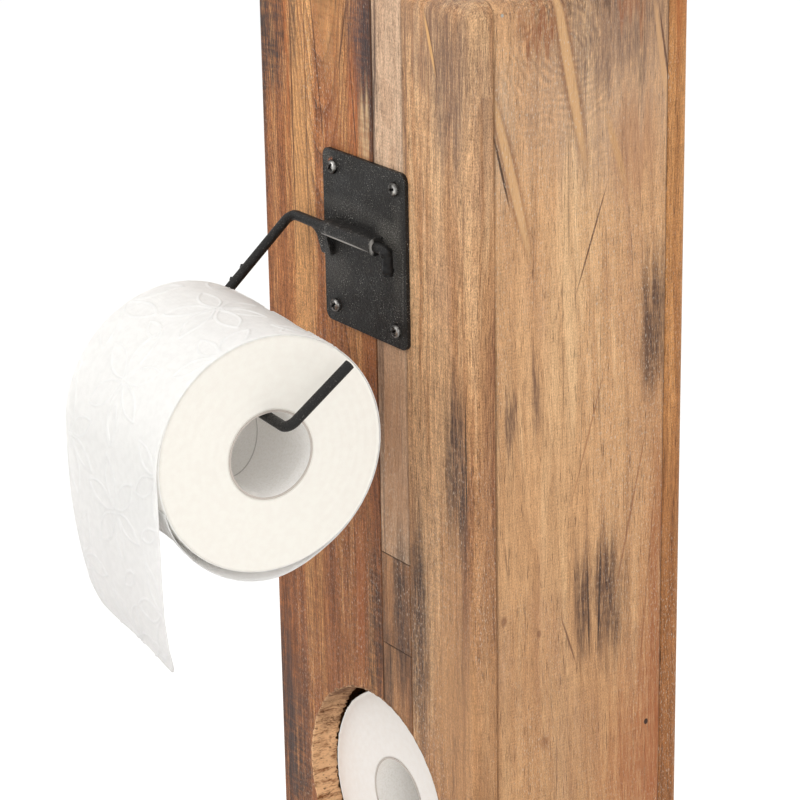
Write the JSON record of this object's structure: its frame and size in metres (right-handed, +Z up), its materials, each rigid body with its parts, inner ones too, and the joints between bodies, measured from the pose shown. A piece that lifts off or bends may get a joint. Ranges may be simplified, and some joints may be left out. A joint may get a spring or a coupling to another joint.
{
  "type": "toilet roll holder",
  "caption": "Free-standing hollow post of sawn boards with a swing-up wire arm for a toilet roll on a screwed steel plate, and round front compartments for spare rolls.",
  "frame": {"origin": "middle of the post's foot, where it stands on the floor", "axes": "+Z up along the post; -Y out of the front, which has the arm and the holes; +X to the right seen from the front"},
  "size_m": [0.18, 0.2729, 0.778],
  "materials": {
    "teak_dark": "sanded, oiled",
    "teak_mid": "sanded, oiled",
    "teak_pale": "sanded, oiled",
    "black_paint": "satin",
    "screw_steel": "worn",
    "brad_steel": "dull",
    "tissue": "soft, embossed",
    "grey_card": "matt"
  },
  "bodies": {
    "post": {"front_board_left": "teak_dark", "front_board_right": "teak_mid", "front_strip_1": "teak_pale", "front_strip_2": "teak_mid", "front_strip_3": "teak_pale", "front_strip_4": "teak_mid", "front_strip_5": "teak_pale", "front_strip_6": "teak_mid", "side_board_left": "teak_pale", "side_board_right": "teak_pale", "back_board_left": "teak_mid", "back_board_right": "teak_dark", "top_panel": "teak_pale", "base_panel": "teak_mid", "shelf_upper": "teak_mid", "shelf_lower": "teak_mid", "batten_front_left": "teak_dark", "batten_front_right": "teak_dark", "batten_back_left": "teak_dark", "batten_back_right": "teak_dark", "brads": "brad_steel", "back_plate": "black_paint", "plate_screws": "screw_steel", "pivot_strap": "black_paint"},
    "arm": {"wire_arm": "black_paint", "stop_tab": "black_paint", "pivot_washer": "black_paint", "paper_tail": "tissue"},
    "roll": {"roll_core": "grey_card", "roll_paper": "tissue"},
    "spare_roll": {"spare_roll_core": "grey_card", "spare_roll_paper": "tissue"}
  },
  "joints": [
    {"name": "arm_swing", "type": "hinge", "parent": "post", "child": "arm", "pos_m": [0, -0.071, 0.6526], "axis": [-1, 0, 0], "range_deg": [0, 105]},
    {"name": "roll_spin", "type": "hinge", "parent": "arm", "child": "roll", "pos_m": [0.00219, -0.14645, 0.5741], "axis": [0.9962, -0.0872, 0], "continuous": true},
    {"name": "spare_roll_out", "type": "slide", "parent": "post", "child": "spare_roll", "axis": [0, -1, 0], "range_m": [0, 0.115]}
  ]
}
